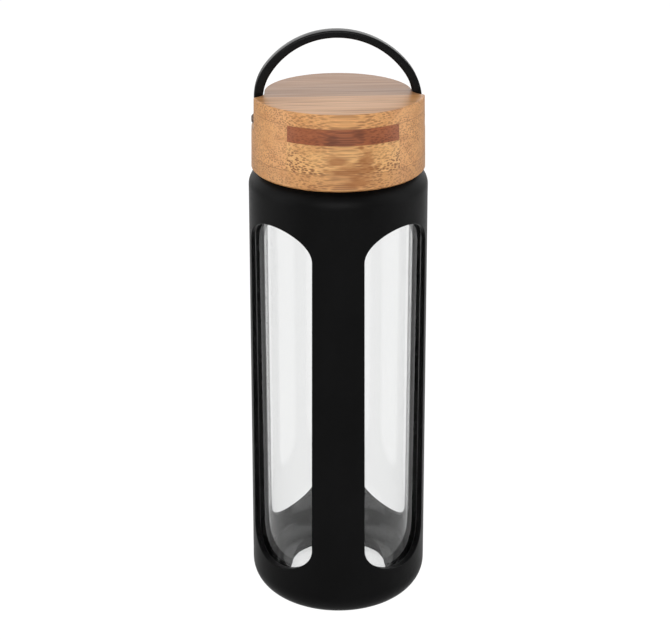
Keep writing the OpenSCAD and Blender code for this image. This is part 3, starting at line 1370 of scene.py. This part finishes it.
@dataclass
class Studio:
    """A white sweep, soft lights and the camera."""

    floor_r: float = 4.0
    white: float = 1.0
    glow: float = 1.15
    dim: float = 0.22
    backdrop: float = 1.35
    camera_away: float = 0.6228
    camera_up: float = 0.3811
    camera_pitch: float = math.radians(22.83)
    camera_turn: float = math.radians(-4)
    lens: float = 90.0
    shift: float = -0.0049
    lights: tuple[Softbox, ...] = (
        Softbox("left_softbox", (-0.85, -0.1, 0.45), (0.5, 1.2), 4.0),
        Softbox("right_softbox", (0.85, -0.1, 0.45), (0.5, 1.2), 3.8),
        Softbox("front_softbox", (-0.1, -1.4, 0.75), (1.1, 0.8), 12.0, 0.18),
        Softbox("top_softbox", (0.1, 0.3, 1.3), (1.2, 0.9), 1.0, 0.2),
    )

    def _seen(self, graph: Graph) -> Signal:
        """1 for rays straight from the camera or through glass, and 0 for all others."""
        camera = graph.node("ShaderNodeLightPath", output="Is Camera Ray")
        through = graph.node("ShaderNodeLightPath", output="Is Transmission Ray")
        return camera.larger(through)

    def _floor(self) -> None:
        """A white floor with a faint shadow under the bottle; its underside is clear."""
        rows = np.array([0.0, 0.05, 0.1, 0.3, 1.0, self.floor_r]) / MM
        grid = polar(rows[:, None], azimuths(96)[None, :], -0.02)
        floor = Shell().add(grid).build("studio_floor")
        if floor.data.polygons[0].normal.z < 0:
            floor.data.flip_normals()
        material = bpy.data.materials.new("white_sweep")
        material.use_nodes = True
        graph = Graph(material.node_tree)
        paint = graph.node("ShaderNodeBsdfDiffuse", None, {"Color": (0.8, 0.8, 0.8)})
        white = {"Color": (1.0, 1.0, 1.0), "Strength": self.glow}
        glow = graph.node("ShaderNodeEmission", None, white)
        share = 0.86 * self._seen(graph)
        sweep = graph.node("ShaderNodeMixShader", None, {0: share, 1: paint, 2: glow})
        underside = graph.node("ShaderNodeNewGeometry", output="Backfacing")
        clear = graph.node("ShaderNodeBsdfTransparent")
        graph.finish(graph.node("ShaderNodeMixShader", None, {0: underside, 1: sweep, 2: clear}))
        floor.data.materials.append(material)

    def _world(self) -> None:
        """A world that is white to the eye and through glass, but dim as a light.

        Reflections that look towards the back see a brighter backdrop.
        """
        world = bpy.data.worlds.new("studio_air")
        bpy.context.scene.world = world
        world.use_nodes = True
        graph = Graph(world.node_tree)
        glossy = graph.node("ShaderNodeLightPath", output="Is Glossy Ray")
        toward = graph.node("ShaderNodeTexCoord", output="Generated")
        back = graph.node("ShaderNodeSeparateXYZ", None, {0: toward}, "Y").step(0.1, 0.8)
        seen = self._seen(graph)
        mirrored = self.backdrop * (glossy * back) * (1 - seen)
        strength = (self.dim + (self.white - self.dim) * seen).larger(mirrored)
        white = {"Color": (1.0, 1.0, 1.0), "Strength": strength}
        air = graph.node("ShaderNodeBackground", None, white)
        graph.finish(air, "ShaderNodeOutputWorld")

    def _camera(self) -> None:
        """A long lens that looks a little down on the bottle's front."""
        data = bpy.data.cameras.new("studio_camera")
        data.lens = self.lens
        data.sensor_width = 36.0
        data.shift_x = self.shift
        camera = bpy.data.objects.new("studio_camera", data)
        camera.location = (
            self.camera_away * math.sin(self.camera_turn),
            -self.camera_away * math.cos(self.camera_turn),
            self.camera_up,
        )
        camera.rotation_euler = (math.pi / 2 - self.camera_pitch, 0.0, self.camera_turn)
        bpy.context.scene.collection.objects.link(camera)
        bpy.context.scene.camera = camera

    def make(self) -> None:
        """Builds the studio."""
        self._floor()
        self._world()
        self._camera()
        for light in self.lights:
            light.make()
        view = bpy.context.scene.view_settings
        view.view_transform = "Standard"
        view.look = "None"


# ---------------------------------------------------------------------------------------------
# The bottle
# ---------------------------------------------------------------------------------------------


def pieces() -> list[Piece]:
    """Every piece of the bottle, with its body and its finish."""
    glued = {"glue_z_mm": (190.7, 208.0)}
    return [
        GlassBottle("glass_bottle", Body.BOTTLE, ClearGlass("clear_glass", "clear_glass")),
        SiliconeSleeve(
            "silicone_sleeve", Body.BOTTLE, MattSilicone("black_silicone", "black_silicone")
        ),
        ThreadedLiner(
            "threaded_liner",
            Body.LID,
            MouldedPlastic(
                "white_polypropylene",
                "white_polypropylene",
                colour=(0.82, 0.82, 0.8),
                roughness=0.42,
                gloss=0.4,
            ),
        ),
        SealRing("seal_ring", Body.SEAL, ClearSilicone("clear_silicone", "clear_silicone")),
        BambooBoard(
            "lid_bottom_board",
            Body.LID,
            Bamboo(
                "bamboo_bottom",
                "bamboo",
                ground=(0.62, 0.315, 0.12),
                seed=1.3,
                dots=0.6,
                stains=(Stain(5.0, 188.5, 5.0, 4.5, 0.7),),
                **glued,
            ),
        ),
        BambooBoard(
            "lid_core_block",
            Body.LID,
            Bamboo("bamboo_core", "bamboo", seed=4.1, dots=0.6, **glued),
        ),
        BambooBoard(
            "lid_front_block",
            Body.LID,
            Bamboo(
                "bamboo_front",
                "bamboo_pale",
                ground=(0.74, 0.41, 0.16),
                seed=7.7,
                dots=0.95,
                stains=(
                    Stain(-3.0, 196.5, 4.5, 2.5, 0.75),
                    Stain(6.2, 200.8, 1.2, 0.8, 0.8),
                    Stain(8.0, 195.0, 3.5, 5.0, 0.75),
                    Stain(4.0, 192.4, 12.0, 2.4, 0.8),
                ),
                **glued,
            ),
        ),
        BambooBoard(
            "lid_dark_strip",
            Body.LID,
            Bamboo(
                "bamboo_strip",
                "bamboo_dark",
                ground=(0.34, 0.1, 0.035),
                warm=(0.24, 0.06, 0.018),
                bundle=(0.1, 0.026, 0.01),
                stain=(0.12, 0.03, 0.01),
                seed=2.9,
                dots=0.6,
                stains=(Stain(-5.0, 203.0, 2.5, 3.0, 0.7), Stain(5.5, 206.0, 3.0, 2.0, 0.6)),
            ),
        ),
        BambooBoard(
            "lid_top_board_front",
            Body.LID,
            Bamboo("bamboo_top_front", "bamboo_face", seed=9.2, dots=0.6, **glued),
        ),
        BambooBoard(
            "lid_top_board_rear",
            Body.LID,
            Bamboo(
                "bamboo_top_rear",
                "bamboo_face",
                ground=(0.45, 0.225, 0.1),
                warm=(0.36, 0.165, 0.07),
                seed=11.6,
                dots=0.4,
                **glued,
            ),
        ),
        CarryHandle("carry_handle", Body.HANDLE, MouldedPlastic("black_plastic", "black_plastic")),
        PivotScrew(
            "pivot_screw_left", Body.LID, BronzedSteel("bronzed_steel_l", "bronzed_steel"), side=-1
        ),
        PivotScrew(
            "pivot_screw_right", Body.LID, BronzedSteel("bronzed_steel_r", "bronzed_steel"), side=1
        ),
    ]


def main() -> None:
    """Loads the frame and builds the pieces and the studio."""
    logging.basicConfig(level=logging.INFO, format="%(name)s: %(message)s")
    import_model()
    for piece in pieces():
        piece.make()
    Studio().make()
    bpy.context.view_layer.update()


if __name__ == "__main__":
    main()
